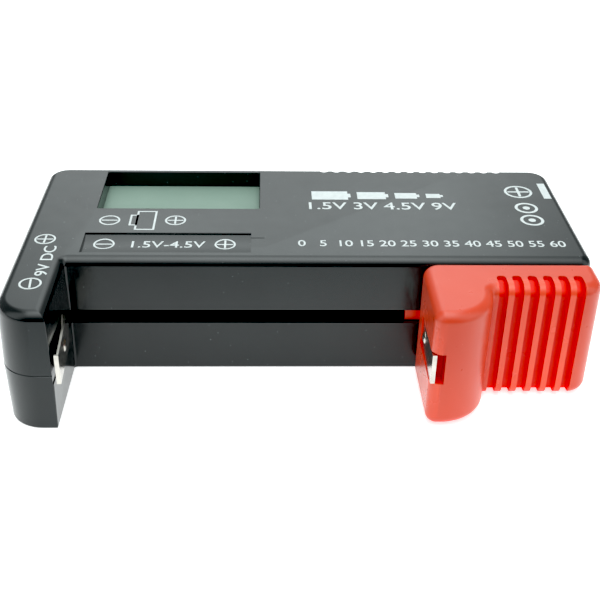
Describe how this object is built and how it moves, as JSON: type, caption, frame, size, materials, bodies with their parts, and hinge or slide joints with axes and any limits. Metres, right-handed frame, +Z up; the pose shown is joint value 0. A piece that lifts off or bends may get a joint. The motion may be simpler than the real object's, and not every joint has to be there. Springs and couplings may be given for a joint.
{
  "type": "battery tester",
  "caption": "Black battery tester with a liquid crystal window, a fixed arm at one end and a red jaw that slides along a slotted bay to clamp round cells.",
  "frame": {"origin": "centre of the bounding box's base, on the surface that the tester lies on", "axes": "+X along the tester from the fixed arm to the red slider, +Y from the battery bay to the back face, +Z up through the display"},
  "size_m": [0.11, 0.062, 0.0246],
  "materials": {
    "black_case": "fine spark-eroded black ABS with white screen print",
    "red_slider": "fine-textured red ABS",
    "nickel_leaf": "nickel-plated spring steel",
    "phosphor_bronze": "rolled phosphor bronze",
    "zinc_screw": "zinc-plated steel",
    "display_film": "polariser film over a grey-green liquid crystal cell",
    "display_glass": "soda glass with ground edges",
    "reflector_film": "satin reflector film",
    "holder_plastic": "white moulded plastic",
    "zebra_rubber": "layered conductive silicone rubber",
    "board_laminate": "green solder mask on glass-epoxy laminate",
    "black_epoxy": "black epoxy",
    "ferrite": "dark ferrite",
    "capacitor_can": "aluminium can with a dark sleeve",
    "chip_resistor": "glazed chip with tinned ends",
    "chip_capacitor": "unglazed tan ceramic chip with tinned ends",
    "red_wire": "soft vinyl insulation",
    "black_wire": "soft vinyl insulation"
  },
  "bodies": {
    "case": {"upper_case": "black_case", "lower_case": "black_case", "case_screws": "zinc_screw", "negative_contact": "nickel_leaf", "contact_rail": "phosphor_bronze", "nine_volt_plus_stud": "nickel_leaf", "nine_volt_minus_stud": "nickel_leaf", "nine_volt_solder_tabs": "phosphor_bronze", "lcd_polariser": "display_film", "lcd_front_glass": "display_glass", "lcd_rear_glass": "display_glass", "lcd_reflector": "reflector_film", "lcd_holder": "holder_plastic", "zebra_strip": "zebra_rubber", "circuit_board": "board_laminate", "pcb_screws": "zinc_screw", "controller_blob": "black_epoxy", "boost_chip": "black_epoxy", "power_inductor": "ferrite", "buffer_capacitor": "capacitor_can", "diode": "black_epoxy", "chip_resistors": "chip_resistor", "chip_capacitors": "chip_capacitor", "wire_rail": "red_wire", "wire_negative": "black_wire", "wire_nine_volt_plus": "red_wire", "wire_nine_volt_minus": "black_wire"},
    "slider": {"slider_body": "red_slider", "positive_contact": "nickel_leaf", "slider_wiper": "phosphor_bronze", "wiper_screws": "zinc_screw"}
  },
  "joints": [
    {"name": "slider_travel", "type": "slide", "parent": "case", "child": "slider", "axis": [-1, 0, 0], "range_m": [0, 0.064]}
  ]
}
